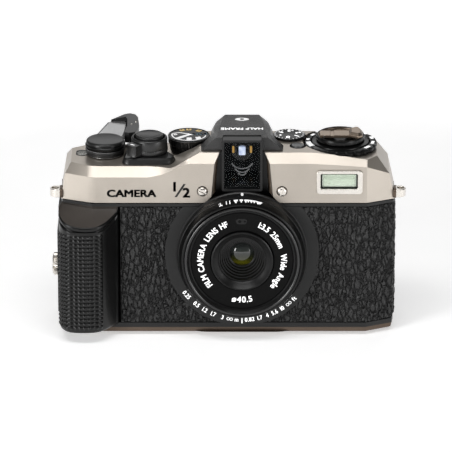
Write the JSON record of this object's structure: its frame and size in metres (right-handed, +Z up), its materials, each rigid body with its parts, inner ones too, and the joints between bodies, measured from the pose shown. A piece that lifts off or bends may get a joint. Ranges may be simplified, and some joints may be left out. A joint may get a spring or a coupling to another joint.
{
  "type": "half frame film camera",
  "caption": "Compact half frame film camera with a finder hump, zone focus lens, built-in flash, wind lever, rewind crank, hinged back and battery grip.",
  "frame": {"origin": "bottom centre of the whole camera's box", "axes": "+X towards the rewind side (viewer's left), +Y towards the back door, +Z up"},
  "size_m": [0.1336, 0.054, 0.078],
  "materials": {
    "champagne": "satin metallic champagne paint",
    "black_cover": "fine textured black",
    "black_plastic": "satin black",
    "control_black": "satin black anodised",
    "lens_black": "satin black anodised",
    "optical_glass": "coated optical glass",
    "rubber": "matte rubber",
    "grip": "textured grip",
    "leatherette": "grained leatherette",
    "bright_trim": "satin chrome",
    "reflector": "bright",
    "steel": "brushed",
    "circuit_board": "solder mask",
    "cell_wrap": "printed sleeve"
  },
  "bodies": {
    "camera": {"top_cover": "champagne", "prism_cover": "black_cover", "viewfinder_bezel": "black_plastic", "viewfinder_window": "optical_glass", "finder_objective": "optical_glass", "finder_prism": "optical_glass", "eyepiece_lens": "optical_glass", "eyecup": "rubber", "front_screw_left": "bright_trim", "front_screw_right": "bright_trim", "flash_bezel": "bright_trim", "flash_window": "optical_glass", "flash_reflector": "reflector", "flash_tube": "optical_glass", "flash_capacitor": "cell_wrap", "main_board": "circuit_board", "chassis": "black_cover", "bottom_cover": "champagne", "tripod_socket": "steel", "door_hinge_pin": "steel", "leather_left": "leatherette", "leather_right": "leatherette", "grip_shell": "grip", "battery": "cell_wrap", "strap_lug_left": "bright_trim", "strap_lug_right": "bright_trim", "lens_plate": "lens_black", "lens_fixed_ring": "lens_black", "shutter_base": "steel", "release_base": "black_cover"},
    "focus_ring": {"focus_ring": "lens_black"},
    "lens_cell": {"filter_ring": "lens_black", "name_ring": "lens_black", "lens_barrel": "lens_black", "front_element": "optical_glass"},
    "shutter_blade_upper": {"shutter_blade_upper": "steel"},
    "shutter_blade_lower": {"shutter_blade_lower": "steel"},
    "wind_lever": {"wind_shaft": "steel", "wind_lever_arm": "steel", "wind_lever_cap": "black_plastic", "thumb_pad": "black_plastic"},
    "take_up_spool": {"take_up_spool": "black_plastic"},
    "sprocket": {"sprocket": "black_plastic"},
    "counter_dial": {"counter_dial": "black_plastic"},
    "power_switch": {"power_switch": "black_plastic"},
    "shutter_button": {"shutter_button": "black_plastic"},
    "mode_dial": {"mode_dial": "control_black"},
    "exposure_dial": {"exposure_dial": "control_black"},
    "exposure_lock_button": {"exposure_lock_button": "control_black"},
    "iso_ring": {"iso_ring": "control_black"},
    "rewind_sleeve": {"rewind_sleeve": "control_black"},
    "rewind_knob": {"rewind_knob": "control_black", "rewind_shaft": "steel"},
    "rewind_crank": {"rewind_crank": "steel"},
    "door_latch": {"door_latch": "steel"},
    "back_door": {"back_door": "black_cover", "pressure_plate": "steel"},
    "battery_cover": {"battery_cover": "black_plastic"},
    "battery_cover_screw": {"battery_cover_screw": "bright_trim"},
    "rewind_release_button": {"rewind_release_button": "black_plastic"}
  },
  "joints": [
    {"name": "focus_turn", "type": "hinge", "parent": "camera", "child": "focus_ring", "pos_m": [0.0053, -0.0242, 0.0328], "axis": [0, 1, 0], "range_deg": [-21, 21]},
    {"name": "lens_focus_slide", "type": "slide", "parent": "camera", "child": "lens_cell", "axis": [0, -1, 0], "range_m": [-0.00051, 0.00051]},
    {"name": "shutter_blade_upper_swing", "type": "hinge", "parent": "camera", "child": "shutter_blade_upper", "pos_m": [0.0158, -0.0148, 0.0328], "axis": [0, 1, 0], "range_deg": [0, 40]},
    {"name": "shutter_blade_lower_swing", "type": "hinge", "parent": "camera", "child": "shutter_blade_lower", "pos_m": [-0.0052, -0.0136, 0.0328], "axis": [0, 1, 0], "range_deg": [0, 40]},
    {"name": "wind_lever_stroke", "type": "hinge", "parent": "camera", "child": "wind_lever", "pos_m": [-0.0462, -0.0002, 0.07], "axis": [0, 0, 1], "range_deg": [0, 130], "stiffness_Nm_per_rad": 0.02},
    {"name": "take_up_spool_turn", "type": "hinge", "parent": "camera", "child": "take_up_spool", "pos_m": [-0.0277, -0.0002, 0.03], "axis": [0, 0, 1], "range_deg": [-130, 0]},
    {"name": "sprocket_turn", "type": "hinge", "parent": "camera", "child": "sprocket", "pos_m": [-0.0109, 0.0052, 0.03], "axis": [0, 0, 1], "range_deg": [0, 180]},
    {"name": "counter_turn", "type": "hinge", "parent": "camera", "child": "counter_dial", "pos_m": [-0.055, 0.0008, 0.063], "axis": [0, 0, 1], "range_deg": [0, 10.5]},
    {"name": "power_switch_turn", "type": "hinge", "parent": "camera", "child": "power_switch", "pos_m": [-0.0295, -0.0043, 0.072], "axis": [0, 0, 1], "range_deg": [0, 60]},
    {"name": "shutter_button_press", "type": "slide", "parent": "camera", "child": "shutter_button", "axis": [0, 0, -1], "range_m": [0, 0.0012], "stiffness_N_per_m": 400},
    {"name": "mode_dial_turn", "type": "hinge", "parent": "camera", "child": "mode_dial", "pos_m": [-0.0147, 0.0028, 0.07], "axis": [0, 0, 1], "range_deg": [-120, 120]},
    {"name": "exposure_dial_turn", "type": "hinge", "parent": "camera", "child": "exposure_dial", "pos_m": [0.0231, 0.0038, 0.072], "axis": [0, 0, 1], "range_deg": [-110, 110]},
    {"name": "exposure_lock_press", "type": "slide", "parent": "camera", "child": "exposure_lock_button", "axis": [0, 0, -1], "range_m": [0, 0.0005], "stiffness_N_per_m": 400},
    {"name": "iso_ring_turn", "type": "hinge", "parent": "camera", "child": "iso_ring", "pos_m": [0.0423, -0.0002, 0.0706], "axis": [0, 0, 1], "range_deg": [-150, 150]},
    {"name": "rewind_lift", "type": "slide", "parent": "camera", "child": "rewind_sleeve", "axis": [0, 0, 1], "range_m": [0, 0.005]},
    {"name": "rewind_spin", "type": "hinge", "parent": "rewind_sleeve", "child": "rewind_knob", "pos_m": [0.0423, -0.0002, 0.073], "axis": [0, 0, 1], "continuous": true},
    {"name": "rewind_crank_fold", "type": "hinge", "parent": "rewind_knob", "child": "rewind_crank", "pos_m": [0.0357, -0.0002, 0.07425], "axis": [0, -1, 0], "range_deg": [0, 145]},
    {"name": "door_latch_lift", "type": "slide", "parent": "camera", "child": "door_latch", "axis": [0, 0, 1], "range_m": [0, 0.005]},
    {"name": "back_door_swing", "type": "hinge", "parent": "camera", "child": "back_door", "pos_m": [-0.0613, 0.0141, 0.027], "axis": [0, 0, 1], "range_deg": [0, 120]},
    {"name": "battery_cover_pull", "type": "slide", "parent": "camera", "child": "battery_cover", "axis": [-1, 0, 0], "range_m": [0, 0.02]},
    {"name": "battery_cover_screw_turn", "type": "hinge", "parent": "battery_cover", "child": "battery_cover_screw", "pos_m": [-0.0651, -0.0112, 0.0264], "axis": [-1, 0, 0], "continuous": true},
    {"name": "rewind_release_press", "type": "slide", "parent": "camera", "child": "rewind_release_button", "axis": [0, 0, 1], "range_m": [0, 0.0012], "stiffness_N_per_m": 300}
  ],
  "couplings": [
    {"joint": "focus_turn", "follows": "lens_focus_slide", "rad_per_m": 714.29},
    {"joint": "shutter_blade_lower_swing", "follows": "shutter_blade_upper_swing", "ratio": 1},
    {"joint": "take_up_spool_turn", "follows": "wind_lever_stroke", "ratio": -1},
    {"joint": "sprocket_turn", "follows": "wind_lever_stroke", "ratio": 1.38},
    {"joint": "counter_turn", "follows": "wind_lever_stroke", "ratio": 0.077},
    {"joint": "door_latch_lift", "follows": "rewind_lift", "ratio": 1}
  ]
}
